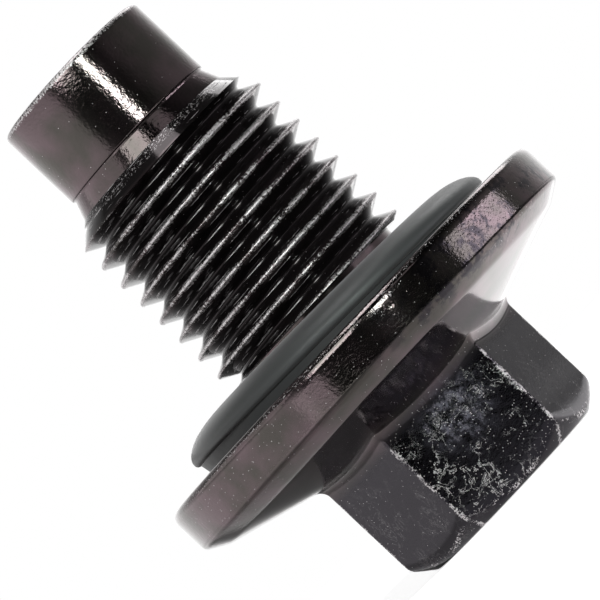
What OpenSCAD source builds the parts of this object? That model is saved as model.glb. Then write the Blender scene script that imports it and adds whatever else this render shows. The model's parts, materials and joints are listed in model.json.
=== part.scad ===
// Oil drain plug with a hexagon head, a conical flange and a rubber sealing ring.
// It stands on the end of its head, with the thread and the pilot pointing up.
// The origin is on the axis, in the plane of the head's end. Lengths are in millimetres.

/* [Head] */
// Width across the flats of the hexagon
head_af = 13; // [11:0.1:15]
// Height of the flange's sealing face above the end of the head
head_h = 13.05; // [11:0.05:18]
// Diameter of the flat circle that the end chamfer leaves
head_face_d = 12.4; // [9.5:0.1:12.6]
// Angle of the end chamfer, from the plane of the end
head_chamfer_a = 40; // [20:1:50]
// Radius of the hollow between the flats and the underside of the flange
head_fillet_r = 0.78; // [0.4:0.02:1]

/* [Flange] */
// Outer diameter of the flange
flange_d = 29; // [26:0.1:34]
// Thickness of the flange at its rim, up to the edge of the back bevel
rim_t = 2.7; // [1.6:0.05:3.2]
// Radius of the round on the rim's front edge
rim_front_r = 0.58; // [0.2:0.02:0.7]
// Width of the bevel on the rim's back edge, along the radius
rim_bevel_w = 1.3; // [0.6:0.05:2]
// Height of the bevel on the rim's back edge, along the axis
rim_bevel_h = 0.8; // [0.4:0.05:1]
// Slope of the flange's underside, from the plane of the flange
skirt_a = 16.8; // [10:0.2:19]

/* [Thread] */
// Diameter over the crests
thread_d = 13.85; // [12.8:0.05:14]
// Distance between two crests
thread_pitch = 1.5; // [1:0.05:2]
// Depth from the crests to the roots
thread_depth = 1.07; // [0.4:0.01:1.1]
// Half of the angle between two flanks
thread_flank_a = 30; // [20:1:32]
// Height of the end of the thread above the sealing face
shank_h = 15; // [10:0.1:30]
// Height of the plain groove that holds the sealing ring
groove_h = 2.3; // [2.2:0.05:4]
// Diameter of that groove
groove_d = 11.7; // [10:0.05:12.4]
// Diameter of the lead-in cone at the end of the thread
lead_d = 11.3; // [10.9:0.05:12]
// Angle of the lead-in cone, from the axis
lead_a = 45; // [30:1:60]
// Height of a crest above the sealing face at the front of the plug, less whole turns
crest_phase = 0.8; // [0:0.05:1.5]

/* [Pilot] */
// Height of the cone between the thread and the pilot
neck_h = 1.2; // [0.6:0.05:3]
// Diameter of that cone where it meets the pilot
neck_d = 10.3; // [9:0.05:10.4]
// Diameter of the pilot
pilot_d = 10.65; // [10.5:0.05:11.2]
// Length of the pilot
pilot_h = 5.3; // [2:0.1:12]
// Radius of the round on the pilot's end
pilot_r = 0.35; // [0.1:0.05:1]

/* [Sealing ring] */
// Outer diameter of the rubber ring
seal_d = 22.9; // [20:0.1:24]
// Thickness of the ring
seal_t = 1.58; // [1.2:0.02:1.7]
// Diameter of the flat part of the ring's front, where its rounded brow starts
seal_flat_d = 16.6; // [14:0.1:19]
// Gap between the ring's bore and the groove
seal_gap = 0.3; // [0.2:0.05:0.5]
// Radius of the round on the ring's back edge
seal_heel_r = 0.25; // [0.1:0.05:0.5]
// How far one side of the ring has lifted off the flange
seal_lift = 0.72; // [0:0.02:0.74]

/* [Hidden] */
$fn = 96;

body_color = "#3a3638";
rubber_color = "#2b2f2d";

// Heights of the sections along the axis, from the end of the head
z_face = head_h;
z_rim = z_face - rim_t;
z_skirt = z_rim - rim_bevel_h;
z_thread = z_face + groove_h;
z_lead = z_face + shank_h;
z_pilot = z_lead + neck_h;
z_tip = z_pilot + pilot_h;

flange_r = flange_d / 2;
skirt_r = flange_r - rim_bevel_w;
crest_r = thread_d / 2;
root_r = crest_r - thread_depth;

// How far a hidden end of one form runs into its neighbour
bury = 0.05;
// Number of points on a quarter round
quarter_n = 8;

// Height of the flange's underside at a distance from the axis
function skirt_z(r) = z_skirt - (skirt_r - r) * tan(skirt_a);

// Points of an elliptical quarter round between two angles
function round_points(cx, cy, rx, ry, a0, a1) =
    [for (i = [0 : quarter_n])
        let (a = a0 + (a1 - a0) * i / quarter_n) [cx + rx * cos(a), cy + ry * sin(a)]];

// Hexagon bar with its end corners turned off to a cone
module head() {
    reach = head_af;
    intersection() {
        cylinder(h = z_face - bury, d = head_af / cos(30), $fn = 6);
        rotate_extrude()
            polygon([
                [0, 0],
                [head_face_d / 2, 0],
                [reach, (reach - head_face_d / 2) * tan(head_chamfer_a)],
                [reach, z_face],
                [0, z_face]
            ]);
    }
}

// Rows of the hollow at the foot of the flats. Each is the hexagon's outline moved outwards
// round the corners, and each column follows the slope of the flange's underside.
hollow_rows = 6;
corner_n = 8;
flat_n = 4;
// Radius by which the hexagon is drawn in before it is moved outwards again
corner_r = 0.2;
hollow_end_a = 90 - skirt_a;

// One point of the outline at a distance from the flats, by corner and step round it
function outline_point(corner, step, out) =
    let (
        core_r = (head_af / 2 - corner_r) / cos(30),
        here = core_r * [cos(60 * corner), sin(60 * corner)],
        next = core_r * [cos(60 * corner + 60), sin(60 * corner + 60)],
        on_flat = max(0, step - corner_n) / flat_n,
        a = 60 * corner - 30 + 60 * min(step, corner_n) / corner_n
    )
    here * (1 - on_flat) + next * on_flat + (corner_r + out) * [cos(a), sin(a)];

function hollow_row(row) =
    let (
        a = hollow_end_a * row / hollow_rows,
        out = row == 0 ? -bury : head_fillet_r * (1 - cos(a)),
        end_out = head_fillet_r * (1 - cos(hollow_end_a))
    )
    [for (corner = [0 : 5], step = [0 : corner_n + flat_n - 1])
        let (
            p = outline_point(corner, step, out),
            e = outline_point(corner, step, end_out),
            z_end = skirt_z(norm(e)) + bury / 4
        )
        [p[0], p[1], z_end - head_fillet_r * (sin(hollow_end_a) - sin(a)) - (row == 0 ? bury : 0)]];

module head_hollow() {
    columns = 6 * (corner_n + flat_n);
    points = concat(
        [for (row = [0 : hollow_rows]) each hollow_row(row)],
        [[0, 0, skirt_z(head_af / 2)], [0, 0, z_rim]]
    );
    low = (hollow_rows + 1) * columns;
    faces = concat(
        [for (c = [0 : columns - 1]) [low, c, (c + 1) % columns]],
        [for (row = [0 : hollow_rows - 1], c = [0 : columns - 1])
            let (
                d = (c + 1) % columns,
                p = row * columns + c,
                q = row * columns + d
            )
            each [[p, p + columns, q], [q, p + columns, q + columns]]],
        [for (c = [0 : columns - 1])
            [low + 1, hollow_rows * columns + (c + 1) % columns, hollow_rows * columns + c]]
    );
    polyhedron(points = points, faces = faces, convexity = 4);
}

// Flange with a rounded front edge, a bevelled back edge and a conical underside
module flange() {
    foot_r = head_af / 2 - 2 * bury;
    rotate_extrude($fn = 180)
        polygon(concat(
            [[0, skirt_z(foot_r)], [foot_r, skirt_z(foot_r)], [skirt_r, z_skirt], [flange_r, z_rim]],
            round_points(flange_r - rim_front_r, z_face - rim_front_r, rim_front_r, rim_front_r, 0, 90),
            [[0, z_face]]
        ));
}

// Steps in one turn of the thread
turn_n = 36;
// Whole turns drawn before the ends are cut square
turns = ceil((shank_h - groove_h) / thread_pitch) + 3;
slope_h = thread_depth * tan(thread_flank_a);
flat_h = max(0.05, (thread_pitch - 2 * slope_h) / 2);
// Section of one ridge, from the root below it to the root above it
ridge = [
    [root_r, -flat_h / 2 - slope_h],
    [crest_r, -flat_h / 2],
    [crest_r, flat_h / 2],
    [root_r, flat_h / 2 + slope_h]
];

// Right-hand screw surface, longer than the thread, closed by a fan at each end
module screw() {
    steps = turns * turn_n;
    start_z = z_face + crest_phase
        + (floor((groove_h - crest_phase) / thread_pitch) - 1) * thread_pitch;
    points = concat(
        [for (i = [0 : steps]) let (a = 360 * i / turn_n - 90, z = start_z + thread_pitch * i / turn_n)
            each [for (p = ridge) [p[0] * cos(a), p[0] * sin(a), z + p[1]]]],
        [[0, 0, start_z - thread_pitch], [0, 0, start_z + (turns + 1) * thread_pitch]]
    );
    low = 4 * (steps + 1);
    faces = concat(
        [for (i = [0 : steps - 1], j = [0 : 2])
            let (p = 4 * i + j, q = p + 4)
            each [[p, p + 1, q], [q, p + 1, q + 1]]],
        [for (i = [0 : steps - turn_n - 1])
            let (p = 4 * i + 3, q = p + 4, r = 4 * (i + turn_n))
            each [[p, r, q], [q, r, r + 4]]],
        [for (i = [0 : turn_n - 1]) [low, 4 * i, 4 * i + 4]],
        [for (j = [0 : 2]) [low, j + 1, j]],
        [[low, 4 * turn_n, 3]],
        [for (i = [steps - turn_n : steps - 1]) [low + 1, 4 * i + 7, 4 * i + 3]],
        [for (j = [0 : 2]) [low + 1, 4 * steps + j, 4 * steps + j + 1]],
        [[low + 1, 4 * (steps - turn_n) + 3, 4 * steps]]
    );
    polyhedron(points = points, faces = faces, convexity = 12);
}

// The screw surface cut square above the groove and turned to a cone at its end
module thread() {
    over_r = crest_r + 4 * bury;
    intersection() {
        screw();
        rotate_extrude()
            polygon([
                [0, z_thread],
                [over_r, z_thread],
                [over_r, z_lead - (over_r - lead_d / 2) / tan(lead_a)],
                [lead_d / 2, z_lead],
                [0, z_lead]
            ]);
    }
}

// Plain groove under the thread, which keeps the sealing ring on the plug
module groove() {
    translate([0, 0, z_face - bury])
        cylinder(h = groove_h + 2 * bury, d = groove_d);
}

// Cone from the end of the thread to the pilot, and the plain pilot with a rounded end
module pilot() {
    pilot_edge = pilot_d / 2 - pilot_r;
    rotate_extrude()
        polygon(concat(
            [
                [0, z_lead - bury],
                [lead_d / 2 - bury, z_lead - bury],
                [lead_d / 2 - bury, z_lead],
                [neck_d / 2, z_pilot],
                [pilot_d / 2, z_pilot]
            ],
            round_points(pilot_edge, z_tip - pilot_r, pilot_r, pilot_r, 0, 90),
            [[0, z_tip]]
        ));
}

module plug_body() {
    color(body_color)
        union() {
            head();
            head_hollow();
            flange();
            groove();
            thread();
            pilot();
        }
}

// Clearance under the side of the ring that rests on the flange
seal_clear = 0.02;
// Angle at which the brow's ellipse starts above the ring's outer edge
brow_a = 10;

// Rubber ring: flat on the flange side, with a brow that falls away to its outer edge
module sealing_ring() {
    bore_r = groove_d / 2 + seal_gap;
    edge_r = seal_d / 2;
    flat_r = seal_flat_d / 2;
    tilt = asin(seal_lift / seal_d);
    color(rubber_color)
        translate([edge_r * cos(tilt), 0, z_face + seal_clear])
            rotate([0, tilt, 0])
                translate([-edge_r, 0, 0])
                    rotate_extrude($fn = 144)
                        polygon(concat(
                            [[bore_r, 0]],
                            round_points(edge_r - seal_heel_r, seal_heel_r, seal_heel_r, seal_heel_r, -90, 0),
                            round_points(flat_r, seal_heel_r, edge_r - flat_r, seal_t - seal_heel_r, brow_a, 90),
                            [[bore_r, seal_t]]
                        ));
}

plug_body();
sealing_ring();
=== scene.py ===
"""Dresses the oil drain plug: black plated steel, a rubber sealing ring and a pale studio."""
import json
import math
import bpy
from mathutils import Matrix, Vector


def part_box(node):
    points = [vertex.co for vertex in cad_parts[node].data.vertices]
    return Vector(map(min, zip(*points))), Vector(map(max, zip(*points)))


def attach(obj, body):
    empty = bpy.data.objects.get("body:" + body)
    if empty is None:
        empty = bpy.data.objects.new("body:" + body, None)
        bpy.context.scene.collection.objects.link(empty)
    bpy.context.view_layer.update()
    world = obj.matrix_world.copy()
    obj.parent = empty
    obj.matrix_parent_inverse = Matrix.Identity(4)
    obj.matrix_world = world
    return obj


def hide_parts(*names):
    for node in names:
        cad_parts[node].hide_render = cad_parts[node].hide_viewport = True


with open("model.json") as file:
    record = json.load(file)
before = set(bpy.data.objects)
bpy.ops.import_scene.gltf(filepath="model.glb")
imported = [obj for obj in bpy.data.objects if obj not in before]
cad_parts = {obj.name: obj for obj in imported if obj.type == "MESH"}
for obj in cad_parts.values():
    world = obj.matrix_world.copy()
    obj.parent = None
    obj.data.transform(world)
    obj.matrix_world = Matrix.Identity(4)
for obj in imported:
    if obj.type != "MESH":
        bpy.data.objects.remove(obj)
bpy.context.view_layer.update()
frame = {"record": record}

from types import SimpleNamespace

import bmesh
import bpy
from mathutils import Matrix, Vector

bl_info = {
    "name": "Oil drain plug",
    "version": (1, 0, 0),
    "blender": (4, 5, 0),
    "location": "View3D > Sidebar > Drain Plug",
    "description": "Models the looks of a screw plug with a flange and a rubber ring",
    "category": "Object",
}

MM = 0.001
PLUG_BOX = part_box("plug_body")
RING_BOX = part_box("sealing_ring")
MOUNTS = {mount["name"]: mount for mount in frame["record"]["mounts"]}

PLUG_TOP = PLUG_BOX[1].z
FLANGE_R = (PLUG_BOX[1].x - PLUG_BOX[0].x) / 2
PILOT_R = MOUNTS["pilot"]["dims"]["r_mm"] * MM
CREST_R = MOUNTS["thread"]["dims"]["r_mm"] * MM

# How far solids that are joined reach into each other, and how close points count as one.
BURY = 0.05 * MM
MERGE = 0.0005 * MM

# Steps round the axis and along the rounds.
TURN_STEPS = 120
RING_STEPS = 160
ARC_STEPS = 5
HOLLOW_STEPS = 8
BROW_STEPS = 24

# Small rounds and steps of the meshes.
FACE_ROUND = 0.45 * MM
SHOULDER_ROUND = 0.4 * MM
SKIRT_ROUND = 2.0 * MM
RIM_BACK_ROUND = 0.5 * MM
NECK_ROUND = 0.1 * MM
STEP_ROUND = 0.08 * MM
BORE_ROUND = 0.1 * MM
LIP_ROUND = 0.2 * MM
BROW_START = math.radians(8)
FOOT_STEP = 0.12 * MM

# Angles past which an edge is shaded sharp, and how far down the normals of an underside point.
STEEL_SHARP = math.radians(20)
RUBBER_SHARP = math.radians(40)
UNDERSIDE = -0.2

# Middle of the haze on the scuffed face, and of the dent in the rim.
HAZE = (0.3 * MM, -6.5 * MM, 5.6 * MM)
DENT_TURN = math.radians(4.4)
DENT = (math.sin(DENT_TURN) * FLANGE_R, -math.cos(DENT_TURN) * FLANGE_R, 12.1 * MM)


def length(name, description, default_mm):
    """A length property, given in millimetres and kept in metres."""
    return bpy.props.FloatProperty(
        name=name, description=description, default=default_mm * MM, min=0.0, unit="LENGTH", precision=5)


def degrees(name, description, default):
    """An angle property, given in degrees."""
    return bpy.props.FloatProperty(
        name=name, description=description, default=math.radians(default), unit="ROTATION", subtype="ANGLE")


def colour(name, description, hex_code):
    """A colour property, given as an sRGB hex value and kept as linear light."""
    return bpy.props.FloatVectorProperty(
        name=name, description=description, default=linear(hex_code), size=3, subtype="COLOR",
        min=0.0, max=1.0)


def linear(hex_code):
    """Turns an sRGB hex value such as "#2b2628" into linear red, green and blue."""
    parts = [int(hex_code[i:i + 2], 16) / 255 for i in (1, 3, 5)]
    return tuple(c / 12.92 if c <= 0.04045 else ((c + 0.055) / 1.055) ** 2.4 for c in parts)


class HeadSizes(bpy.types.PropertyGroup):
    across_flats: length("Across flats", "Width of the hexagon across its flats", 13)
    corner_round: length("Corner round", "Radius of the worn corners of the hexagon", 0.22)
    face_radius: length("End circle", "Radius of the flat circle inside the end chamfer", 6.2)
    chamfer_angle: degrees("Chamfer", "Angle of the end chamfer from the plane of the end", 40)
    hollow: length("Hollow", "Radius of the hollow at the foot of the flats", 0.78)
    skirt_angle: degrees("Skirt slope", "Slope of the flange's underside", 16.8)


class FlangeSizes(bpy.types.PropertyGroup):
    face_height: length("Sealing face", "Height of the sealing face above the end of the head", 13.05)
    rim: length("Rim", "Thickness of the rim up to its back bevel", 2.7)
    front_round: length("Front round", "Radius of the round on the rim's front edge", 0.58)
    bevel_width: length("Bevel width", "Width of the back bevel along the radius", 1.3)
    bevel_height: length("Bevel height", "Height of the back bevel along the axis", 0.8)


class ThreadSizes(bpy.types.PropertyGroup):
    pitch: length("Pitch", "Distance between two crests", 1.5)
    depth: length("Depth", "Depth from the crests to the roots", 1.07)
    flank_angle: degrees("Flank", "Half of the angle between two flanks", 30)
    groove_height: length("Groove", "Height of the plain groove under the thread", 2.3)
    groove_radius: length("Groove radius", "Radius of that groove", 5.85)
    shank: length("Shank", "Height of the end of the thread above the sealing face", 15)
    lead_radius: length("Lead-in radius", "Radius where the lead-in cone ends", 5.65)
    lead_angle: degrees("Lead-in angle", "Angle of the lead-in cone from the axis", 45)
    crest_phase: length("Crest phase", "Height of a crest above the sealing face at the front", 0.8)
    neck: length("Neck", "Height of the cone between the thread and the pilot", 1.2)
    neck_radius: length("Neck radius", "Radius of that cone at the pilot", 5.15)
    pilot_round: length("Pilot round", "Radius of the round on the pilot's end", 0.35)


class RingSizes(bpy.types.PropertyGroup):
    radius: length("Radius", "Outer radius of the rubber ring", 11.45)
    bore: length("Bore", "Radius of the ring's bore", 6.15)
    thickness: length("Thickness", "Thickness of the ring", 1.58)
    flat_radius: length("Flat radius", "Radius at which the rounded brow starts", 8.3)
    foot: length("Foot", "Radius of the foot that stays on the flange where the ring lifts", 11.05)
    heel: length("Heel", "Radius of the round on the back edge", 0.25)
    lift: length("Lift", "How far one side has lifted off the flange", 0.72)
    clearance: length("Clearance", "Gap under the side that rests on the flange", 0.02)


class FinishColours(bpy.types.PropertyGroup):
    plating: colour("Plating", "Black zinc plating", "#56524f")
    forging: colour("Forged head", "Plating over the dull blank of the forged head", "#3b383c")
    plating_warm: colour("Warm plating", "Plating where the film is thinner", "#6a5d60")
    bare: colour("Bare steel", "Steel where the plating is rubbed off", "#d2cecf")
    rubber: colour("Rubber", "Moulded black rubber", "#232525")
    scuffed: colour("Scuffed face", "The face of the hexagon that the spanner rubbed", "#2f2d32")
    # Painted shade: a darker colour between the crests of the thread, standing for the shade in its
    # grooves.
    painted_groove_shade: colour("Grime", "Thick dark film between the crests of the thread", "#2b2728")
    haze: colour("Haze", "Bluish haze in the film on that face", "#615e69")
    floor: colour("Floor", "Pale studio floor", "#f4f4f4")


SETS = {
    "plug_head": HeadSizes,
    "plug_flange": FlangeSizes,
    "plug_thread": ThreadSizes,
    "plug_ring": RingSizes,
    "plug_colours": FinishColours,
}


def sizes(name):
    """The property group of that name on the scene."""
    return getattr(bpy.context.scene, name)


# Outlines

FACE_COLUMNS = 20
CORNER_ANGLES = (-3.0, -1.6, -0.9, -0.55, -0.2, 0.2, 0.55, 0.9, 1.6, 3.0)
SEAM_SHIFT = 0.01


def column_angles():
    """Angles of the columns round the axis, close together at the hexagon's corners."""
    angles = []
    for corner in range(6):
        middle = 60 * corner
        angles += [middle + step for step in CORNER_ANGLES]
        first, last = middle + CORNER_ANGLES[-1], middle + 60 + CORNER_ANGLES[0]
        angles += [first + (last - first) * (i + 1) / (FACE_COLUMNS + 1) for i in range(FACE_COLUMNS)]
    return sorted(math.radians(a % 360) for a in angles)


def hexagon_radius(angle, out, head):
    """Distance from the axis to the rounded hexagon, moved outwards by a distance."""
    from_corner = abs((angle + math.pi / 6) % (math.pi / 3) - math.pi / 6)
    from_face = math.pi / 6 - from_corner
    core = (head.across_flats / 2 - head.corner_round) / math.cos(math.pi / 6)
    reach = head.corner_round + out
    side = core * math.sin(from_corner)
    flat = (head.across_flats / 2 + out) / math.cos(from_face)
    if side >= reach * math.sin(math.pi / 6):
        return flat
    return min(flat, core * math.cos(from_corner) + math.sqrt(reach ** 2 - side ** 2))


def rounded(path):
    """The (radius, height) points of a path of (radius, height, round, steps), its corners rounded."""
    points = []
    for i, (r, z, size, steps) in enumerate(path):
        here = Vector((r, z))
        if not steps or i in (0, len(path) - 1):
            points.append(here)
            continue
        before = (Vector(path[i - 1][:2]) - here).normalized()
        after = (Vector(path[i + 1][:2]) - here).normalized()
        half = before.angle(after) / 2
        centre = here + (before + after).normalized() * (size / math.sin(half))
        start = here + before * (size / math.tan(half)) - centre
        end = here + after * (size / math.tan(half)) - centre
        turn = start.angle(end)
        for step in range(steps + 1):
            t = step / steps
            arm = (start * math.sin((1 - t) * turn) + end * math.sin(t * turn)) / math.sin(turn)
            points.append(centre + arm)
    return points


def between(a, b, count):
    """Points that divide a straight line, ends left out."""
    return [(a[0] + (b[0] - a[0]) * i / (count + 1), a[1] + (b[1] - a[1]) * i / (count + 1), 0, 0)
            for i in range(1, count + 1)]


# Meshes

def deselect():
    if bpy.context.object and bpy.context.object.mode != "OBJECT":
        bpy.ops.object.mode_set(mode="OBJECT")
    bpy.ops.object.select_all(action="DESELECT")


def only(piece):
    """Makes a piece the one that operators act on."""
    deselect()
    piece.select_set(True)
    bpy.context.view_layer.objects.active = piece


def apply_modifier(piece, name, kind, **settings):
    only(piece)
    modifier = piece.modifiers.new(name, kind)
    for key, value in settings.items():
        setattr(modifier, key, value)
    bpy.ops.object.modifier_apply(modifier=modifier.name)


def set_ring(piece, points):
    """Moves the selected loop of vertices to the points of a ring, in order round the axis."""
    mesh = bmesh.from_edit_mesh(piece.data)
    chosen = [v for v in mesh.verts if v.select]
    chosen.sort(key=lambda v: (math.atan2(v.co.y, v.co.x) + SEAM_SHIFT) % math.tau)
    if len(chosen) != len(points):
        raise RuntimeError(f"{piece.name}: {len(chosen)} vertices for a ring of {len(points)}")
    for vertex, point in zip(chosen, points):
        vertex.co = point
    bmesh.update_edit_mesh(piece.data)


def loft(name, rings):
    """A closed solid, extruded from a disc through rings of points round the axis."""
    count = len(rings[0])
    deselect()
    bpy.ops.mesh.primitive_circle_add(vertices=count, radius=rings[0][0].length, fill_type="NGON")
    piece = bpy.context.object
    piece.name = name
    bpy.ops.object.mode_set(mode="EDIT")
    bpy.ops.mesh.select_mode(type="FACE")
    bpy.ops.mesh.select_all(action="SELECT")
    set_ring(piece, rings[0])
    for ring in rings[1:]:
        bpy.ops.mesh.extrude_region_move()
        set_ring(piece, ring)
    bpy.ops.mesh.select_all(action="SELECT")
    bpy.ops.mesh.normals_make_consistent(inside=False)
    bpy.ops.object.mode_set(mode="OBJECT")
    return piece


def turned(name, path, angles):
    """A solid turned from a path of (radius, height) points."""
    order = sorted(angles, key=lambda a: (a + SEAM_SHIFT) % math.tau)
    return loft(name, [[Vector((r * math.cos(a), r * math.sin(a), z)) for a in order] for r, z in path])


def even_angles(count):
    return [math.tau * i / count for i in range(count)]


def draw_profile(name, points):
    """A line of (radius, height) points in the plane at the front, drawn by extruding one vertex."""
    deselect()
    bpy.ops.mesh.primitive_plane_add(size=MM)
    piece = bpy.context.object
    piece.name = name
    bpy.ops.object.mode_set(mode="EDIT")
    bpy.ops.mesh.select_mode(type="VERT")
    bpy.ops.mesh.select_all(action="SELECT")
    bpy.ops.mesh.merge(type="CENTER")
    bpy.ops.transform.translate(value=(0, -points[0][0], points[0][1]))
    for (r0, z0), (r1, z1) in zip(points, points[1:]):
        bpy.ops.mesh.extrude_region_move(TRANSFORM_OT_translate={"value": (0, r0 - r1, z1 - z0)})
    bpy.ops.object.mode_set(mode="OBJECT")
    return piece


def join_solid(piece, other, operation="UNION"):
    """Joins, cuts or keeps what two solids share, and removes the second."""
    apply_modifier(piece, "Join", "BOOLEAN", object=other, operation=operation, solver="EXACT")
    bpy.data.objects.remove(other, do_unlink=True)


# Steel plug

def section(angle, head, flange, thread):
    """The path of one column, from the end of the head over the flange to the groove."""
    face, rim = flange.face_height, flange.face_height - flange.rim
    skirt_z, skirt_r = rim - flange.bevel_height, FLANGE_R - flange.bevel_width
    slope = math.tan(head.skirt_angle)
    corner = hexagon_radius(angle, 0, head)
    shoulder = (corner - head.face_radius) * math.tan(head.chamfer_angle)
    turn = math.pi / 2 - head.skirt_angle
    foot_r = hexagon_radius(angle, head.hollow * (1 - math.cos(turn)), head)
    foot_z = skirt_z - (skirt_r - foot_r) * slope
    hollow = []
    for i in range(HOLLOW_STEPS + 1):
        a = turn * i / HOLLOW_STEPS
        r = hexagon_radius(angle, head.hollow * (1 - math.cos(a)), head)
        hollow.append((r, foot_z - head.hollow * (math.sin(turn) - math.sin(a)), 0, 0))
    path = [
        (head.face_radius * 0.55, 0, 0, 0),
        (head.face_radius * 0.9, 0, 0, 0),
        (head.face_radius, 0, FACE_ROUND, 3),
        (corner, shoulder, SHOULDER_ROUND + (corner - head.across_flats / 2) / 2, 4),
    ]
    path += between(path[-1], hollow[0], 8) + hollow
    path += between(hollow[-1], (skirt_r, skirt_z), 6)
    path += [(skirt_r, skirt_z, SKIRT_ROUND, 3)]
    path += [(FLANGE_R, rim, RIM_BACK_ROUND, 5)]
    path += between((FLANGE_R, rim), (FLANGE_R, face), 6)[:5]
    path += [(FLANGE_R, face, flange.front_round, 6)]
    path += [(RING_BOX[1].x, face, 0, 0), (thread.groove_radius, face, 0, 0)]
    path += [(thread.groove_radius, face + thread.groove_height + BURY, 0, 0)]
    return rounded(path)


def make_head(head, flange, thread):
    """Head, flange and groove, with the columns of the loft bent round the hexagon."""
    angles = sorted(column_angles(), key=lambda a: (a + SEAM_SHIFT) % math.tau)
    paths = [section(angle, head, flange, thread) for angle in angles]
    rings = []
    for points in zip(*paths):
        rings.append([Vector((r * math.cos(a), r * math.sin(a), z)) for a, (r, z) in zip(angles, points)])
    return loft("steel_plug", rings)


def thread_profile(thread):
    """One pitch of the rolled thread, from root to root, with round crests and roots."""
    root = CREST_R - thread.depth
    tangent = math.tan(thread.flank_angle)
    land = (thread.pitch - 2 * thread.depth * tangent) / 2
    size = land / 2 / tangent
    sweep = math.pi / 2 - thread.flank_angle
    arc = [sweep * i / ARC_STEPS for i in range(ARC_STEPS + 1)]
    half = thread.pitch / 2
    rise = [(root + size * (1 - math.cos(a)), size * math.sin(a)) for a in arc]
    top = [(CREST_R - size * (1 - math.cos(a)), half - size * math.sin(a)) for a in reversed(arc)]
    middle = [((rise[-1][0] + top[0][0]) / 2, (rise[-1][1] + top[0][1]) / 2)]
    up = rise + middle + top
    down = [(r, thread.pitch - z) for r, z in reversed(up[:-1])]
    return up + down


def make_thread(flange, thread):
    """Right-hand thread: a profile drawn point by point, wound by a screw, cut square and turned."""
    low = flange.face_height + thread.groove_height
    high = flange.face_height + thread.shank
    turns = math.ceil((high - low) / thread.pitch) + 3
    crest = flange.face_height + thread.crest_phase
    start = crest - thread.pitch / 2 + (math.floor((low - crest) / thread.pitch) - 1) * thread.pitch
    piece = draw_profile("thread", [(r, start + z) for r, z in thread_profile(thread)])
    apply_modifier(piece, "Wind", "SCREW", axis="Z", angle=math.tau, screw_offset=thread.pitch,
                   steps=TURN_STEPS, render_steps=TURN_STEPS, iterations=turns)
    bpy.ops.object.mode_set(mode="EDIT")
    bpy.ops.mesh.select_all(action="SELECT")
    bpy.ops.mesh.remove_doubles(threshold=MERGE)
    for height, normal in ((low - BURY, (0, 0, -1)), (high + BURY, (0, 0, 1))):
        bpy.ops.mesh.select_all(action="SELECT")
        bpy.ops.mesh.bisect(plane_co=(0, 0, height), plane_no=normal, use_fill=True,
                            clear_outer=True, threshold=MERGE)
    bpy.ops.mesh.select_all(action="SELECT")
    bpy.ops.mesh.normals_make_consistent(inside=False)
    bpy.ops.object.mode_set(mode="OBJECT")
    wide = CREST_R + 4 * BURY
    cone_foot = high - (wide - thread.lead_radius) / math.tan(thread.lead_angle)
    blank = turned("thread_blank", [(thread.groove_radius / 2, low), (wide, low), (wide, cone_foot),
                                    (thread.lead_radius, high), (thread.groove_radius / 2, high)],
                   even_angles(TURN_STEPS))
    join_solid(piece, blank, "INTERSECT")
    return piece


def make_pilot(flange, thread):
    """Cone and plain pilot, turned from a path."""
    low = flange.face_height + thread.shank
    step = low + thread.neck
    path = rounded([
        (thread.lead_radius - 2 * BURY, low - 2 * BURY, 0, 0),
        (thread.lead_radius - BURY / 2, low, 0, 0),
        (thread.neck_radius, step, NECK_ROUND, 2),
        (PILOT_R, step, STEP_ROUND, 2),
        (PILOT_R, (step + PLUG_TOP) / 2, 0, 0),
        (PILOT_R, PLUG_TOP, thread.pilot_round, 5),
        (PILOT_R * 0.6, PLUG_TOP, 0, 0),
    ])
    return turned("pilot", path, even_angles(TURN_STEPS))


class PLUG_OT_steel(bpy.types.Operator):
    """Model the one-piece steel plug: head, flange, groove, thread, cone and pilot"""
    bl_idname = "drain_plug.steel"
    bl_label = "Steel Plug"

    def execute(self, context):
        head, flange, thread = sizes("plug_head"), sizes("plug_flange"), sizes("plug_thread")
        plug = make_head(head, flange, thread)
        join_solid(plug, make_thread(flange, thread))
        join_solid(plug, make_pilot(flange, thread))
        only(plug)
        bpy.ops.object.shade_smooth_by_angle(angle=STEEL_SHARP)
        plug.data.materials.clear()
        plug.data.materials.append(black_zinc_plating())
        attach(plug, "root")
        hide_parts("plug_body")
        return {"FINISHED"}


# Rubber ring

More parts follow.
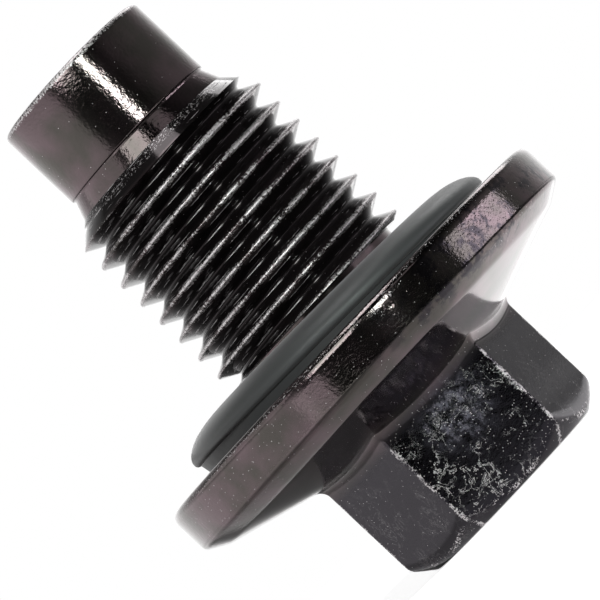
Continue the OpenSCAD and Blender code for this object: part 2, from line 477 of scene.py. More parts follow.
def make_ring(ring, flange):
    """Rubber ring with a rounded brow, tilted about the edge that rests on the flange."""
    brow_turns = [BROW_START + (math.pi / 2 - BROW_START) * i / BROW_STEPS for i in range(BROW_STEPS + 1)]
    brow = [(ring.flat_radius + (ring.radius - ring.flat_radius) * math.cos(a),
             ring.heel + (ring.thickness - ring.heel) * math.sin(a), 0, 0) for a in brow_turns]
    path = rounded([(ring.bore, ring.thickness * 0.3, 0, 0), (ring.bore, 0, BORE_ROUND, 3),
                    (ring.foot, 0, 0, 0), (ring.foot + FOOT_STEP, 0, 0, 0),
                    (ring.radius, 0, ring.heel, 5)] + brow + [(ring.bore, ring.thickness, LIP_ROUND, 3),
                    (ring.bore, ring.thickness * 0.6, 0, 0)])
    piece = turned("rubber_ring", path, even_angles(RING_STEPS))
    only(piece)
    bpy.ops.object.mode_set(mode="EDIT")
    bpy.ops.mesh.select_mode(type="FACE")
    mesh = bmesh.from_edit_mesh(piece.data)
    for face in mesh.faces:
        face.select = len(face.verts) > 4
    bmesh.update_edit_mesh(piece.data)
    bpy.ops.mesh.bridge_edge_loops()
    bpy.ops.mesh.select_all(action="SELECT")
    bpy.ops.mesh.normals_make_consistent(inside=False)
    bpy.ops.object.mode_set(mode="OBJECT")
    tilt = math.asin(ring.lift / (2 * ring.radius))
    edge = Vector((ring.radius * math.cos(tilt), 0, flange.face_height + ring.clearance))
    piece.data.transform(Matrix.Translation(edge) @ Matrix.Rotation(tilt, 4, "Y")
                         @ Matrix.Translation((-ring.radius, 0, 0)))
    bpy.ops.object.mode_set(mode="EDIT")
    bpy.ops.mesh.select_mode(type="VERT")
    bpy.ops.mesh.select_all(action="DESELECT")
    mesh = bmesh.from_edit_mesh(piece.data)
    for vertex in mesh.verts:
        down = vertex.normal.z < UNDERSIDE
        vertex.select = down and math.hypot(vertex.co.x, vertex.co.y) < ring.foot + FOOT_STEP / 2
    bmesh.update_edit_mesh(piece.data)
    bpy.ops.transform.resize(value=(1, 1, 0), center_override=(0, 0, flange.face_height + ring.clearance))
    bpy.ops.object.mode_set(mode="OBJECT")
    return piece


class PLUG_OT_rubber(bpy.types.Operator):
    """Model the rubber sealing ring in front of the flange"""
    bl_idname = "drain_plug.rubber"
    bl_label = "Rubber Ring"

    def execute(self, context):
        piece = make_ring(sizes("plug_ring"), sizes("plug_flange"))
        only(piece)
        bpy.ops.object.shade_smooth_by_angle(angle=RUBBER_SHARP)
        piece.data.materials.clear()
        piece.data.materials.append(nitrile_rubber())
        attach(piece, "root")
        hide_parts("sealing_ring")
        return {"FINISHED"}


# Materials

# Sizes of the patterns. On a real plug the grains of bare steel, the specks and the plating's grain are
# about 0.02 to 0.05 mm, too fine to show, so they are drawn as coarse as they need to show.
BARE_GRAIN = 0.13 * MM
SPECK_GRAIN = 0.16 * MM
PLATING_GRAIN = 0.2 * MM
ORANGE_PEEL = 0.5 * MM
HAZE_CLOUD = 0.6 * MM
RUBBED_PATCH = 0.9 * MM
VEIN_LENGTH = 0.9 * MM
SKIN_PATCH = 1.1 * MM
VEIN_PATCH = 1.5 * MM
CREST_PATCH = 2.2 * MM
FILM_BLOTCH = 2.5 * MM
LAP_LENGTH = 2.8 * MM
LAP_FINENESS = 30.0
MOULD_GRAIN = 0.4 * MM

# Depths of the relief.
PEEL_DEPTH = 0.003 * MM
GRAIN_DEPTH = 0.015 * MM
LAP_DEPTH = 0.06 * MM
DENT_DEPTH = 0.06 * MM
DENT_RADIUS = 0.45 * MM
DENT_SHAPE = ((0.0, 0.0), (0.45, 0.2), (0.7, 1.0), (0.998, 1.0), (1.0, 0.7))

# Wear, as distances from the edge that is rubbed.
CORNER_WEAR = (0.05 * MM, 0.38 * MM)
SHOULDER_WEAR = (0.05 * MM, 0.36 * MM)
BRIM_WEAR = (-0.6 * MM, -0.3 * MM)
TIP_WEAR = (-0.5 * MM, -0.2 * MM)
CREST_WEAR = (-0.45 * MM, -0.05 * MM)
LEAD_WEAR = (-0.95 * MM, -0.45 * MM)
EDGE_BAND = 1.2 * MM

# Heights, radii and places between which one finish gives way to the next.
FORGED_END = (6.6 * MM, 7.8 * MM)
GRIT_END = (7.4 * MM, 8.1 * MM)
VEINS_END = (4.2 * MM, 6.2 * MM)
RIM_START = (13.3 * MM, 14.2 * MM)
NECK_START = (-0.15 * MM, 0.05 * MM)
SCUFFED_FACE = (-6.3 * MM, -6.45 * MM)
SKIN_SIDE = (-3 * MM, 3 * MM)
SKIN_COVER = 1.6
HAZE_SPREAD = (0.5 * MM, 3.6 * MM)


def new_material(name):
    material = bpy.data.materials.new(name)
    material.use_nodes = True
    material.node_tree.nodes.clear()
    return material


def add(tree, kind, links=None, **settings):
    """Adds a node. Settings name its properties, or its inputs by name or number; links feed its inputs."""
    node = tree.nodes.new("ShaderNode" + kind)
    inputs = settings.pop("inputs", {})
    for key, value in settings.items():
        setattr(node, key, value)
    for key, value in inputs.items():
        node.inputs[key].default_value = value
    for key, source in (links or {}).items():
        tree.links.new(source, node.inputs[key])
    return node


def span(start, end, low=0.0, high=1.0):
    """Settings of a range that goes from low to high between two values."""
    return {"From Min": start, "From Max": end, "To Min": low, "To Max": high}


def ramp(tree, factor, stops, low, high, top):
    """A ramp of grey values between low and high, kept under 1 by top and multiplied again after it."""
    node = add(tree, "ValToRGB", {"Fac": factor})
    elements = node.color_ramp.elements
    while len(elements) > 1:
        elements.remove(elements[-1])
    for i, (at, value) in enumerate(stops):
        element = elements[0] if i == 0 else elements.new((at - low) / (high - low))
        element.position = (at - low) / (high - low)
        element.color = (value / top, value / top, value / top, 1)
    return add(tree, "Math", {0: node.outputs["Color"]}, operation="MULTIPLY",
               inputs={1: top}).outputs["Value"]


def plug_axes(tree):
    """A point's place on the plug, its distance from the axis and its turn round it."""
    at = SimpleNamespace(place=add(tree, "TexCoord").outputs["Object"])
    axes = add(tree, "SeparateXYZ", {"Vector": at.place})
    at.x, at.y, at.z = (axes.outputs[key] for key in "XYZ")
    across = add(tree, "CombineXYZ", {"X": at.x, "Y": at.y})
    at.r = add(tree, "VectorMath", {0: across.outputs["Vector"]}, operation="LENGTH").outputs["Value"]
    at.turn = add(tree, "Math", {0: at.y, 1: at.x}, operation="ARCTAN2").outputs["Value"]
    at.rise = add(tree, "Math", {0: at.r, 1: at.z}, operation="ADD").outputs["Value"]
    return at


def head_edges(tree, at, zone, head):
    """Edges that the spanner rubbed: the hexagon's corners and the edge of its end chamfer."""
    turn = add(tree, "Math", {0: at.turn}, operation="ADD", inputs={1: math.tau})
    turn = add(tree, "Math", {0: turn.outputs["Value"]}, operation="PINGPONG",
               inputs={1: math.pi / 6}).outputs["Value"]
    corner = add(tree, "Math", {0: turn, 1: at.r}, operation="MULTIPLY")
    corner = add(tree, "MapRange", {"Value": corner.outputs["Value"]}, inputs=span(*CORNER_WEAR, 1.0, 0.0))
    slope = math.tan(head.chamfer_angle)
    shoulder = add(tree, "Math", {0: at.r}, operation="MULTIPLY_ADD",
                   inputs={1: -slope, 2: head.face_radius * slope})
    shoulder = add(tree, "Math", {0: shoulder.outputs["Value"], 1: at.z}, operation="ADD").outputs["Value"]
    on_flat = add(tree, "Math", {0: shoulder}, operation="GREATER_THAN", inputs={1: 0.0})
    corner = add(tree, "Math", {0: corner.outputs["Result"], 1: on_flat.outputs["Value"]},
                 operation="MULTIPLY")
    shoulder = add(tree, "Math", {0: shoulder}, operation="ABSOLUTE")
    from_face = add(tree, "Math", {1: turn}, operation="SUBTRACT", inputs={0: math.pi / 6})
    from_face = add(tree, "Math", {0: from_face.outputs["Value"]}, operation="COSINE")
    from_face = add(tree, "Math", {0: from_face.outputs["Value"], 1: at.r}, operation="MULTIPLY")
    from_face = add(tree, "Math", {1: from_face.outputs["Value"]}, operation="SUBTRACT",
                    inputs={0: head.across_flats / 2})
    from_face = add(tree, "Math", {0: from_face.outputs["Value"]}, operation="ABSOLUTE")
    shoulder = add(tree, "Math", {0: shoulder.outputs["Value"], 1: from_face.outputs["Value"]},
                   operation="ADD")
    shoulder = add(tree, "MapRange", {"Value": shoulder.outputs["Value"]},
                   inputs=span(*SHOULDER_WEAR, 1.0, 0.0))
    edges = add(tree, "Math", {0: corner.outputs["Value"], 1: shoulder.outputs["Result"]},
                operation="MAXIMUM")
    edges = add(tree, "Math", {0: edges.outputs["Value"], 1: zone.forged}, operation="MULTIPLY")
    rubbed = add(tree, "TexNoise", {"Vector": at.place}, inputs={"Scale": 1 / RUBBED_PATCH, "Detail": 3.0})
    rubbed = add(tree, "MapRange", {"Value": rubbed.outputs["Fac"]}, inputs=span(0.42, 0.6, 0.6, 1.0))
    return add(tree, "Math", {0: edges.outputs["Value"], 1: rubbed.outputs["Result"]},
               operation="MULTIPLY").outputs["Value"]


def turned_edges(tree, at, flange, edges):
    """Adds the front edge of the rim and the edge of the pilot's end to the rubbed edges."""
    brim_rise, tip_rise = FLANGE_R + flange.face_height, PILOT_R + PLUG_TOP
    brim = add(tree, "MapRange", {"Value": at.rise},
               inputs=span(*(brim_rise + away for away in BRIM_WEAR), 0.0, 0.68))
    on_rim = add(tree, "Math", {0: at.r}, operation="GREATER_THAN", inputs={1: FLANGE_R - EDGE_BAND})
    tip = add(tree, "MapRange", {"Value": at.rise}, inputs=span(*(tip_rise + away for away in TIP_WEAR)))
    on_tip = add(tree, "Math", {0: at.z}, operation="GREATER_THAN", inputs={1: PLUG_TOP - EDGE_BAND})
    for edge, here in ((brim, on_rim), (tip, on_tip)):
        edge = add(tree, "Math", {0: edge.outputs["Result"], 1: here.outputs["Value"]},
                   operation="MULTIPLY").outputs["Value"]
        edges = add(tree, "Math", {0: edges, 1: edge}, operation="MAXIMUM").outputs["Value"]
    return edges


def plug_zones(tree, at):
    """Masks of the plug's parts: forged head, its scuffed face, rim, neck, thread, crests and edges."""
    head, flange, thread = sizes("plug_head"), sizes("plug_flange"), sizes("plug_thread")
    thread_top = flange.face_height + thread.shank
    zone = SimpleNamespace()
    zone.forged = add(tree, "MapRange", {"Value": at.z},
                      inputs=span(*FORGED_END, 1.0, 0.0)).outputs["Result"]
    zone.head_grit = add(tree, "MapRange", {"Value": at.z}, interpolation_type="SMOOTHSTEP",
                         inputs=span(*GRIT_END, 0.14, 0.08)).outputs["Result"]
    zone.rim = add(tree, "MapRange", {"Value": at.r}, inputs=span(*RIM_START, 0.0, 0.6)).outputs["Result"]
    zone.neck = add(tree, "MapRange", {"Value": at.z},
                    inputs=span(*(thread_top + away for away in NECK_START), 0.0, 0.9)).outputs["Result"]
    scuffed = add(tree, "MapRange", {"Value": at.y}, inputs=span(*SCUFFED_FACE, 0.15, 1.0))
    zone.scuffed = add(tree, "Math", {0: scuffed.outputs["Result"], 1: zone.forged},
                       operation="MULTIPLY").outputs["Value"]

    above = add(tree, "Math", {0: at.z}, operation="GREATER_THAN",
                inputs={1: flange.face_height + thread.groove_height - BURY}).outputs["Value"]
    below = add(tree, "Math", {0: at.z}, operation="LESS_THAN",
                inputs={1: thread_top + BURY / 5}).outputs["Value"]
    zone.thread = add(tree, "Math", {0: above, 1: below}, operation="MULTIPLY").outputs["Value"]
    crest = add(tree, "MapRange", {"Value": at.r}, inputs=span(*(CREST_R + away for away in CREST_WEAR)))
    uneven = add(tree, "TexNoise", {"Vector": at.place}, inputs={"Scale": 1 / CREST_PATCH, "Detail": 2.0})
    uneven = add(tree, "MapRange", {"Value": uneven.outputs["Fac"]}, inputs=span(0.35, 0.65, 0.55, 1.25))
    zone.crest = add(tree, "Math", {0: crest.outputs["Result"], 1: uneven.outputs["Result"]},
                     operation="MULTIPLY").outputs["Value"]
    lead = add(tree, "MapRange", {"Value": at.z},
               inputs=span(*(thread_top + away for away in LEAD_WEAR), 0.0, 0.57))
    rubbed = add(tree, "Math", {0: zone.crest, 1: lead.outputs["Result"]}, operation="MAXIMUM")
    rubbed = add(tree, "Math", {0: rubbed.outputs["Value"], 1: zone.thread}, operation="MULTIPLY")
    # Painted shade: the thread less its crests, made darker and less metallic as shade in the grooves.
    zone.grimy = add(tree, "Math", {0: zone.thread, 1: zone.crest}, operation="SUBTRACT",
                     use_clamp=True).outputs["Value"]

    edges = turned_edges(tree, at, flange, head_edges(tree, at, zone, head))
    zone.edges = add(tree, "Math", {0: edges, 1: rubbed.outputs["Value"]},
                     operation="MAXIMUM").outputs["Value"]
    return zone


def rolled_laps(tree, at, zone):
    """Fine laps along the thread, as its rolling leaves them: long round the helix and short across it."""
    pitch = sizes("plug_thread").pitch
    helix = add(tree, "Math", {0: at.turn, 2: at.z}, operation="MULTIPLY_ADD",
                inputs={1: -pitch / math.tau})
    helix = add(tree, "Math", {0: helix.outputs["Value"]}, operation="FLOORED_MODULO", inputs={1: pitch})
    helix = add(tree, "Math", {0: helix.outputs["Value"]}, operation="MULTIPLY", inputs={1: LAP_FINENESS})
    along = add(tree, "CombineXYZ", {"X": at.x, "Y": at.y, "Z": helix.outputs["Value"]})
    laps = add(tree, "TexNoise", {"Vector": along.outputs["Vector"]},
               inputs={"Scale": 1 / LAP_LENGTH, "Detail": 3.0})
    laps = add(tree, "MapRange", {"Value": laps.outputs["Fac"]}, inputs=span(0.64, 0.69))
    return add(tree, "Math", {0: laps.outputs["Result"], 1: zone.thread},
               operation="MULTIPLY").outputs["Value"]


def bare_steel(tree, at, zone, laps):
    """Where steel shows: grains on crests and edges, laps, veins on the scuffed face, and specks."""
    grains = add(tree, "TexNoise", {"Vector": at.place},
                 inputs={"Scale": 1 / BARE_GRAIN, "Detail": 4.0, "Roughness": 0.8})
    grains = add(tree, "MapRange", {"Value": grains.outputs["Fac"]}, inputs=span(0.3, 0.66))
    worn = add(tree, "Math", {0: zone.edges, 1: grains.outputs["Result"]}, operation="MULTIPLY")
    worn = add(tree, "MapRange", {"Value": worn.outputs["Value"]}, inputs=span(0.42, 0.5))

    vein = add(tree, "TexNoise", {"Vector": at.place}, inputs={
        "Scale": 1 / VEIN_LENGTH, "Detail": 8.0, "Roughness": 0.66, "Distortion": 0.6})
    vein = add(tree, "Math", {0: vein.outputs["Fac"]}, operation="SUBTRACT", inputs={1: 0.5})
    vein = add(tree, "Math", {0: vein.outputs["Value"]}, operation="ABSOLUTE")
    vein = add(tree, "MapRange", {"Value": vein.outputs["Value"]}, inputs=span(0.0, 0.014, 1.0, 0.0))
    patchy = add(tree, "TexNoise", {"Vector": at.place}, inputs={"Scale": 1 / VEIN_PATCH, "Detail": 4.0})
    patchy = add(tree, "MapRange", {"Value": patchy.outputs["Fac"]}, inputs=span(0.44, 0.56))
    lower = add(tree, "MapRange", {"Value": at.z}, inputs=span(*VEINS_END, 1.0, 0.4))
    veins = vein.outputs["Result"]
    for mask in (patchy.outputs["Result"], zone.scuffed, lower.outputs["Result"]):
        veins = add(tree, "Math", {0: veins, 1: mask}, operation="MULTIPLY").outputs["Value"]

    dots = add(tree, "TexVoronoi", {"Vector": at.place}, inputs={"Scale": 1 / SPECK_GRAIN})
    chance = add(tree, "SeparateColor", {"Color": dots.outputs["Color"]})
    amount = add(tree, "Math", {0: zone.rim}, operation="MULTIPLY", inputs={1: 0.55})
    amount = add(tree, "Math", {0: zone.scuffed, 1: amount.outputs["Value"]}, operation="MAXIMUM")
    amount = add(tree, "MapRange", {"Value": amount.outputs["Value"]}, inputs=span(0.0, 1.0, 0.96, 0.42))
    chosen = add(tree, "Math", {0: chance.outputs["Red"], 1: amount.outputs["Result"]},
                 operation="GREATER_THAN")
    dot = add(tree, "MapRange", {"Value": dots.outputs["Distance"]}, inputs=span(0.08, 0.2, 1.0, 0.0))
    bare = add(tree, "Math", {0: chosen.outputs["Value"], 1: dot.outputs["Result"]},
               operation="MULTIPLY").outputs["Value"]
    for mask in (veins, laps, worn.outputs["Result"]):
        bare = add(tree, "Math", {0: bare, 1: mask}, operation="MAXIMUM").outputs["Value"]
    return bare


def spanner_haze(tree, at, zone):
    """Cloudy haze that the spanner left in the film of the scuffed face."""
    haze = add(tree, "VectorMath", {0: at.place}, operation="DISTANCE", inputs={1: HAZE})
    haze = add(tree, "MapRange", {"Value": haze.outputs["Value"]}, interpolation_type="SMOOTHSTEP",
               inputs=span(*HAZE_SPREAD, 0.85, 0.0))
    cloud = add(tree, "TexNoise", {"Vector": at.place},
                inputs={"Scale": 1 / HAZE_CLOUD, "Detail": 8.0, "Roughness": 0.8})
    cloud = add(tree, "MapRange", {"Value": cloud.outputs["Fac"]}, inputs=span(0.42, 0.62))
    haze = add(tree, "Math", {0: haze.outputs["Result"], 1: cloud.outputs["Result"]}, operation="MULTIPLY")
    return add(tree, "Math", {0: haze.outputs["Value"], 1: zone.scuffed},
               operation="MULTIPLY").outputs["Value"]


def film_colours(tree, at, zone, haze, bare):
    """Film blotches; over them dull skin on head and rim, painted groove shade, scuffs, haze and bare
    steel.
    """
    look = sizes("plug_colours")
    blotch = add(tree, "TexNoise", {"Vector": at.place}, inputs={"Scale": 1 / FILM_BLOTCH, "Detail": 4.0})
    blotch = add(tree, "MapRange", {"Value": blotch.outputs["Fac"]}, inputs=span(0.38, 0.62))
    film = add(tree, "Mix", {"Factor": blotch.outputs["Result"]}, data_type="RGBA",
               inputs={"A": (*look.plating, 1), "B": (*look.plating_warm, 1)}).outputs["Result"]
    skin = add(tree, "TexNoise", {"Vector": at.place},
               inputs={"Scale": 1 / SKIN_PATCH, "Detail": 7.0, "Roughness": 0.7})
    skin = add(tree, "MapRange", {"Value": skin.outputs["Fac"]}, inputs=span(0.5, 0.58))
    this_side = add(tree, "MapRange", {"Value": at.x}, inputs=span(*SKIN_SIDE)).outputs["Result"]
    skin = add(tree, "Math", {0: skin.outputs["Result"], 1: zone.rim}, operation="MULTIPLY")
    skin = add(tree, "Math", {0: skin.outputs["Value"], 1: this_side}, operation="MULTIPLY")
    skin = add(tree, "Math", {0: skin.outputs["Value"]}, operation="MULTIPLY", inputs={1: SKIN_COVER},
               use_clamp=True)
    dull = add(tree, "Math", {0: skin.outputs["Value"], 1: zone.forged},
               operation="MAXIMUM").outputs["Value"]
    # The coat between the crests is painted shade.
    coats = ((dull, look.forging), (zone.grimy, look.painted_groove_shade), (zone.scuffed, look.scuffed),
             (haze, look.haze), (bare, look.bare))
    for mask, tint in coats:
        film = add(tree, "Mix", {"Factor": mask, "A": film}, data_type="RGBA",
                   inputs={"B": (*tint, 1)}).outputs["Result"]
    return film


def plating_relief(tree, at, zone, laps):
    """Orange peel of the blank, laps of the rolled thread, the dent in the rim and the plating's grain."""
    battered = add(tree, "Math", {0: zone.scuffed}, operation="MULTIPLY", inputs={1: 0.25}).outputs["Value"]
    gritty = zone.head_grit
    for mask in (zone.rim, zone.neck, battered):
        gritty = add(tree, "Math", {0: gritty, 1: mask}, operation="MAXIMUM").outputs["Value"]
    peel = add(tree, "TexNoise", {"Vector": at.place}, inputs={"Scale": 1 / ORANGE_PEEL, "Detail": 2.0})
    peel = add(tree, "Bump", {"Height": peel.outputs["Fac"], "Strength": gritty},
               inputs={"Distance": PEEL_DEPTH})
    rolled = add(tree, "Bump", {"Height": laps, "Normal": peel.outputs["Normal"], "Strength": zone.thread},
                 inputs={"Distance": LAP_DEPTH})
    dent = add(tree, "VectorMath", {0: at.place}, operation="DISTANCE", inputs={1: DENT})
    dent = add(tree, "MapRange", {"Value": dent.outputs["Value"]}, inputs=span(0.0, DENT_RADIUS))
    dent = ramp(tree, dent.outputs["Result"], DENT_SHAPE, 0.0, 1.0, 1.0)
    dent = add(tree, "Bump", {"Height": dent, "Normal": rolled.outputs["Normal"]},
               inputs={"Strength": 1.0, "Distance": DENT_DEPTH})
    grain = add(tree, "TexNoise", {"Vector": at.place},
                inputs={"Scale": 1 / PLATING_GRAIN, "Detail": 2.0, "Roughness": 0.6})
    grain = add(tree, "Bump", {"Height": grain.outputs["Fac"], "Normal": dent.outputs["Normal"],
                               "Strength": gritty}, inputs={"Distance": GRAIN_DEPTH})
    return grain.outputs["Normal"]


def black_zinc_plating():
    """Black zinc plating: forged, turned and rolled steel, zinc plated and passivated black.

    The thin film makes a dark and slightly warm mirror. It is duller on the forged head, matt and silver
    where it is rubbed through, and darker and less of a mirror between the crests, as painted shade.
    """
    material = new_material("black_zinc_plating")
    tree = material.node_tree
    at = plug_axes(tree)
    zone = plug_zones(tree, at)
    laps = rolled_laps(tree, at, zone)
    bare = bare_steel(tree, at, zone, laps)
    haze = spanner_haze(tree, at, zone)
    matt = add(tree, "Math", {0: haze, 1: bare}, operation="MAXIMUM")
    rough = add(tree, "MapRange", {"Value": matt.outputs["Value"]}, inputs=span(0.0, 1.0, 0.1, 0.5))
    # Painted shade: between the crests the plating is made less metallic.
    metallic = add(tree, "MapRange", {"Value": zone.grimy}, inputs=span(0.0, 1.0, 1.0, 0.88))
    shader = add(tree, "BsdfPrincipled", {
        "Base Color": film_colours(tree, at, zone, haze, bare), "Roughness": rough.outputs["Result"],
        "Metallic": metallic.outputs["Result"], "Normal": plating_relief(tree, at, zone, laps)})
    add(tree, "OutputMaterial", {"Surface": shader.outputs["BSDF"]})
    return material


def nitrile_rubber():
    """Moulded nitrile rubber, from a mould with a fine grain: near black, with a soft satin sheen."""
    material = new_material("nitrile_rubber")
    tree = material.node_tree
    place = add(tree, "TexCoord").outputs["Object"]
    grain = add(tree, "TexNoise", {"Vector": place}, inputs={"Scale": 1 / MOULD_GRAIN, "Detail": 3.0})
    satin = add(tree, "MapRange", {"Value": grain.outputs["Fac"]}, inputs=span(0.0, 1.0, 0.4, 0.54))
    shader = add(tree, "BsdfPrincipled", {"Roughness": satin.outputs["Result"]},
                 inputs={"Base Color": (*sizes("plug_colours").rubber, 1), "Sheen Weight": 0.15,
                         "Sheen Roughness": 0.4})
    add(tree, "OutputMaterial", {"Surface": shader.outputs["BSDF"]})
    return material


# Stage

# The camera fitted to the plug's outline in the photograph, before the picture's roll.
CAMERA_DISTANCE = 300 * MM
CAMERA_HEIGHT = 8.39 * MM
CAMERA_TURN = math.radians(-5.81)
CAMERA_RIGHT = (-0.030833, 0.025805, -0.999191)
CAMERA_UP = (0.999523, 0.002455, -0.030779)
PICTURE_ROLL = math.radians(45)
FRAME_PX = 600
FOCAL_PX = 5304.5
SENSOR_MM = 36

# The floor, its glow to the camera, a painted pool of light that only metal sees, and the room's light on
# it.
FLOOR_R = 280 * MM
FLOOR_GAP = 0.05 * MM
PAPER_GLOW = 0.82
PAPER_WHITE = (30 * MM, 160 * MM)
PAINTED_POOL = (24 * MM, 10 * MM, 0)
PAINTED_POOL_STRETCH = (1.0, 0.35, 0.0)
PAINTED_POOL_EDGE = (15 * MM, 24 * MM)
FILL = 0.32

# Where the painted shine that metal sees on the floor starts and ends: behind, fading right, and at the
# left.
PAINTED_SHINE_BEHIND = (22 * MM, 85 * MM)
PAINTED_SHINE_FADE = (60 * MM, 200 * MM)
PAINTED_SHINE_LEFT = (-18 * MM, -50 * MM)


def make_camera():
    """Camera at the photograph's viewing angle, level with the head and rolled so that the plug leans."""
    right, up = Vector(CAMERA_RIGHT), Vector(CAMERA_UP)
    rolled_right = (right * math.cos(PICTURE_ROLL) + up * math.sin(PICTURE_ROLL)).normalized()
    rolled_up = (up * math.cos(PICTURE_ROLL) - right * math.sin(PICTURE_ROLL)).normalized()
    back = rolled_right.cross(rolled_up)
    turn = Matrix.Rotation(CAMERA_TURN, 4, "Z")
    aim = Matrix((rolled_right, rolled_up, back)).transposed().to_4x4()
    data = bpy.data.cameras.new("camera")
    data.sensor_width = SENSOR_MM
    data.lens = SENSOR_MM * FOCAL_PX / FRAME_PX
    data.clip_start, data.clip_end = 10 * MM, 10.0
    camera = bpy.data.objects.new("camera", data)
    bpy.context.scene.collection.objects.link(camera)
    camera.matrix_world = turn @ Matrix.Translation((0, -CAMERA_DISTANCE, CAMERA_HEIGHT)) @ aim
    bpy.context.scene.camera = camera


def around(angle, distance, height):
    """A place round the plug, at an angle from the camera towards +X."""
    a = math.radians(angle) + CAMERA_TURN
    return Vector((math.sin(a) * distance, -math.cos(a) * distance, height))


def soft_box(name, place, aim, width, tall, radiance, tint="#ffffff"):
    """A soft box that shines in the metal and the rubber, and lights nothing else."""
    data = bpy.data.lights.new(name, "AREA")
    data.shape = "RECTANGLE"
    data.size, data.size_y = width, tall
    data.color = linear(tint)
    data.energy = radiance * math.pi * width * tall
    light = bpy.data.objects.new(name, data)
    bpy.context.scene.collection.objects.link(light)
    light.location = place
    light.rotation_euler = (aim - place).to_track_quat("-Z", "Y").to_euler()
    light.visible_camera = False
    light.visible_diffuse = False


def upright_box(name, angle, low, high, distance, width, radiance, tint):
    """A soft box that stands upright and faces the plug's axis, between two heights."""
    height = (low + high) / 2
    soft_box(name, around(angle, distance, height), Vector((0, 0, height)), width, high - low,
             radiance, tint)


# Upright soft boxes: angle in degrees, low and high edge, distance and width in millimetres, radiance and
# tint. The streak box makes the streak on the pilot, the side box the light on the head's right side, the
# back box the light on the thread's right side, the low card the patch on the rim, and the rest light the
# ring and the neck.
UPRIGHT_BOXES = {
    "streak_box": (19, 35, 150, 220, 28, 21.0, "#f2fff8"),
    "side_box": (78, 2, 16, 130, 94, 3.6, "#fbf6ff"),
    "back_box": (148, 130, 260, 260, 120, 3.0, "#ffffff"),
    "low_card": (-29, 5, 19, 130, 36, 0.85, "#ffffff"),
    "ring_box": (-12, 92, 185, 230, 110, 6.0, "#ffffff"),
    "left_box": (-85, 120, 400, 240, 400, 0.7, "#ffffff"),
    "front_box": (-12, 190, 345, 240, 160, 3.5, "#f8fffa"),
    "right_card": (38, 190, 300, 240, 110, 0.5, "#ffffff"),
}
# The box over the plug: its angle, distance, height, width, depth and radiance.
TOP_BOX = (128, 40 * MM, 300 * MM, 70 * MM, 190 * MM, 5.0)
# The lamp on the paper: its angle, angle above the floor, distance and power, and its cone and size.
POOL_LAMP = (24, 17, 300 * MM, 11.5)
LAMP_CONE = math.radians(12)
LAMP_SIZE = 22 * MM


# Light of the room by its angle from the camera towards +X, in degrees: white behind, dark in front.
ROOM = (
    (-180, 1.5), (-140, 1.3), (-100, 1.15), (-60, 1.05), (-40, 0.85), (-31, 0.12), (-14, 0.04), (40, 0.04),
    (60, 0.16), (90, 0.3), (118, 0.33), (132, 0.5), (146, 1.0), (165, 1.5), (180, 1.5),
)
# The same by the height angle, in degrees: it fades towards the ceiling.
CEILING = ((-90, 0.5), (-6, 0.8), (2, 0.95), (8, 1.0), (25, 0.4), (45, 0.12), (90, 0.14))


def make_world():
    """White to the camera. Metal sees a room that is white behind the plug and dark in front of it."""
    world = bpy.data.worlds.new("studio")
    bpy.context.scene.world = world
    world.use_nodes = True
    tree = world.node_tree
    tree.nodes.clear()
    direction = add(tree, "TexCoord").outputs["Generated"]
    turned_room = add(tree, "Mapping", {"Vector": direction}, vector_type="POINT",
                      inputs={"Rotation": (0, 0, math.pi / 2 - CAMERA_TURN)})
    bearing = add(tree, "TexGradient", {"Vector": turned_room.outputs["Vector"]}, gradient_type="RADIAL")
    axes = add(tree, "SeparateXYZ", {"Vector": direction})
    height = add(tree, "Math", {0: axes.outputs["Z"]}, operation="ARCSINE")
    level = add(tree, "MapRange", {"Value": height.outputs["Value"]},
                inputs=span(-math.pi / 2, math.pi / 2))
    side = ramp(tree, bearing.outputs["Fac"], ROOM, -180, 180, 2.0)
    fade = ramp(tree, level.outputs["Result"], CEILING, -90, 90, 1.0)
    room = add(tree, "Math", {0: side, 1: fade}, operation="MULTIPLY")
    path = add(tree, "LightPath")
    seen = add(tree, "Math", {0: path.outputs["Is Camera Ray"], 1: path.outputs["Is Transmission Ray"]},
               operation="MAXIMUM")
    fill = add(tree, "Math", {0: room.outputs["Value"]}, operation="MULTIPLY", inputs={1: FILL})
    lit = add(tree, "Mix", {"Factor": path.outputs["Is Diffuse Ray"], "A": room.outputs["Value"],
                            "B": fill.outputs["Value"]}, data_type="FLOAT")
    strength = add(tree, "Mix", {"Factor": seen.outputs["Value"], "A": lit.outputs["Result"]},
                   data_type="FLOAT", inputs={"B": 1.0})
    shine = add(tree, "Background", {"Strength": strength.outputs["Result"]},
                inputs={"Color": (1, 1, 1, 1)})
    add(tree, "OutputWorld", {"Surface": shine.outputs["Background"]})


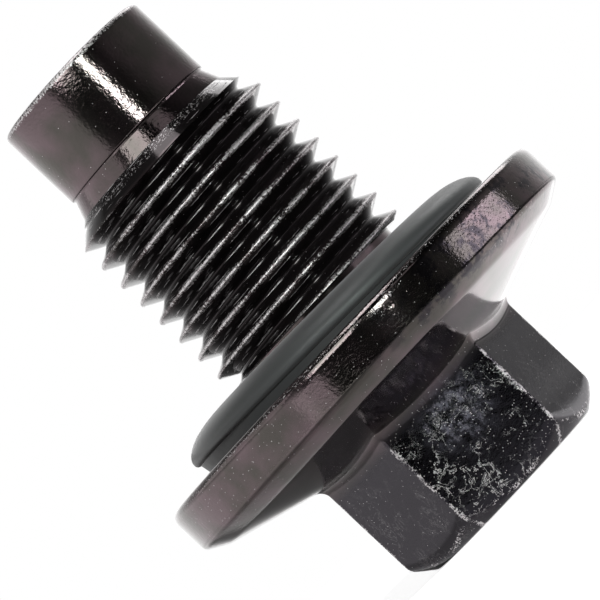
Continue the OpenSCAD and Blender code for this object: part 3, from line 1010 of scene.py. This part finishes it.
def studio_floor():
    """Matt white paper, uncoated: it shows white to the camera and keeps the soft shadow under the plug.

    Metal sees painted light on it, a glow no other ray sees: behind the plug, to its left and in a pool at
    its right.
    """
    material = new_material("matt_white_paper")
    tree = material.node_tree
    path = add(tree, "LightPath")
    seen = add(tree, "Math", {0: path.outputs["Is Camera Ray"], 1: path.outputs["Is Transmission Ray"]},
               operation="MAXIMUM")
    place = add(tree, "TexCoord").outputs["Object"]
    away = add(tree, "VectorMath", {0: place}, operation="LENGTH")
    away = add(tree, "MapRange", {"Value": away.outputs["Value"]}, interpolation_type="SMOOTHSTEP",
               inputs=span(*PAPER_WHITE, PAPER_GLOW, 1.0))
    plain = add(tree, "Math", {0: seen.outputs["Value"], 1: away.outputs["Result"]}, operation="MULTIPLY")
    # Painted light for metal only: a painted pool of light at the plug's right, and painted shine behind it
    # and at its left.
    stretched = add(tree, "VectorMath", {0: place}, operation="MULTIPLY", inputs={1: PAINTED_POOL_STRETCH})
    from_painted_pool = add(tree, "VectorMath", {0: stretched.outputs["Vector"]}, operation="DISTANCE",
                    inputs={1: PAINTED_POOL})
    painted_pool = add(tree, "MapRange", {"Value": from_painted_pool.outputs["Value"]}, interpolation_type="SMOOTHSTEP",
               inputs=span(*PAINTED_POOL_EDGE, 1.2, 0.0))
    beside = add(tree, "SeparateXYZ", {"Vector": place})
    painted_behind = add(tree, "MapRange", {"Value": beside.outputs["Y"]}, interpolation_type="SMOOTHSTEP",
                 inputs=span(*PAINTED_SHINE_BEHIND, 0.0, 0.9))
    painted_fade = add(tree, "MapRange", {"Value": beside.outputs["X"]}, inputs=span(*PAINTED_SHINE_FADE, 1.0, 0.2))
    painted_behind = add(tree, "Math", {0: painted_behind.outputs["Result"], 1: painted_fade.outputs["Result"]},
                 operation="MULTIPLY")
    painted_left = add(tree, "MapRange", {"Value": beside.outputs["X"]}, interpolation_type="SMOOTHSTEP",
               inputs=span(*PAINTED_SHINE_LEFT, 0.0, 0.9))
    painted_behind = add(tree, "Math", {0: painted_behind.outputs["Value"], 1: painted_left.outputs["Result"]}, operation="MAXIMUM")
    # Glossy rays see this painted glint on top of the paper's plain glow.
    painted_glint = add(tree, "Math", {0: painted_pool.outputs["Result"], 1: painted_behind.outputs["Value"]}, operation="ADD")
    painted_glint = add(tree, "Math", {0: path.outputs["Is Glossy Ray"], 1: painted_glint.outputs["Value"]},
                operation="MULTIPLY")
    glow_and_painted_glint = add(tree, "Math", {0: plain.outputs["Value"], 1: painted_glint.outputs["Value"]}, operation="ADD")
    shader = add(tree, "BsdfPrincipled", {"Emission Strength": glow_and_painted_glint.outputs["Value"]},
                 inputs={"Base Color": (*sizes("plug_colours").floor, 1), "Roughness": 0.9,
                         "Emission Color": (1, 1, 1, 1)})
    add(tree, "OutputMaterial", {"Surface": shader.outputs["BSDF"]})
    return material


def pool_lamp(angle, height_angle, distance, power):
    """A lamp that lights the paper round the plug and casts its soft shadow, unseen in the metal."""
    data = bpy.data.lights.new("pool_lamp", "SPOT")
    data.energy = power
    data.spot_size, data.spot_blend = LAMP_CONE, 1.0
    data.shadow_soft_size = LAMP_SIZE
    light = bpy.data.objects.new("pool_lamp", data)
    bpy.context.scene.collection.objects.link(light)
    a = math.radians(angle) + CAMERA_TURN
    up = math.radians(height_angle)
    place = Vector((math.sin(a) * math.cos(up), -math.cos(a) * math.cos(up), math.sin(up))) * distance
    light.location = place
    light.rotation_euler = (-place).to_track_quat("-Z", "Y").to_euler()
    light.visible_glossy = False


class PLUG_OT_stage(bpy.types.Operator):
    """Set up the floor, the lights, the room and the camera"""
    bl_idname = "drain_plug.stage"
    bl_label = "Studio"

    def execute(self, context):
        deselect()
        bpy.ops.mesh.primitive_circle_add(vertices=96, radius=FLOOR_R, fill_type="NGON", location=(0, 0, 0))
        floor = bpy.context.object
        floor.name = "studio_floor"
        floor.data.transform(Matrix.Translation((0, 0, -FLOOR_GAP)))
        floor.data.materials.append(studio_floor())
        for name, (angle, low, high, distance, width, radiance, tint) in UPRIGHT_BOXES.items():
            upright_box(name, angle, low * MM, high * MM, distance * MM, width * MM, radiance, tint)
        angle, distance, height, width, depth, radiance = TOP_BOX
        over = around(angle, distance, height)
        soft_box("top_box", over, Vector((over.x, over.y, 0)), width, depth, radiance)
        pool_lamp(*POOL_LAMP)
        make_world()
        make_camera()
        context.scene.view_settings.view_transform = "Standard"
        return {"FINISHED"}


class VIEW3D_PT_drain_plug(bpy.types.Panel):
    """Sizes, colours and steps of the drain plug"""
    bl_label = "Drain Plug"
    bl_space_type = "VIEW_3D"
    bl_region_type = "UI"
    bl_category = "Drain Plug"

    def draw(self, context):
        for name, group in SETS.items():
            box = self.layout.box()
            box.label(text=group.__name__)
            for key in group.__annotations__:
                box.prop(getattr(context.scene, name), key)
        for step in STEPS:
            self.layout.operator(step.bl_idname)


STEPS = (PLUG_OT_steel, PLUG_OT_rubber, PLUG_OT_stage)
CLASSES = (*SETS.values(), *STEPS, VIEW3D_PT_drain_plug)


def register():
    for cls in CLASSES:
        bpy.utils.register_class(cls)
    for name, group in SETS.items():
        setattr(bpy.types.Scene, name, bpy.props.PointerProperty(type=group))


def unregister():
    for name in SETS:
        delattr(bpy.types.Scene, name)
    for cls in reversed(CLASSES):
        bpy.utils.unregister_class(cls)


def main():
    register()
    bpy.ops.drain_plug.steel()
    bpy.ops.drain_plug.rubber()
    bpy.ops.drain_plug.stage()


if __name__ == "__main__":
    main()
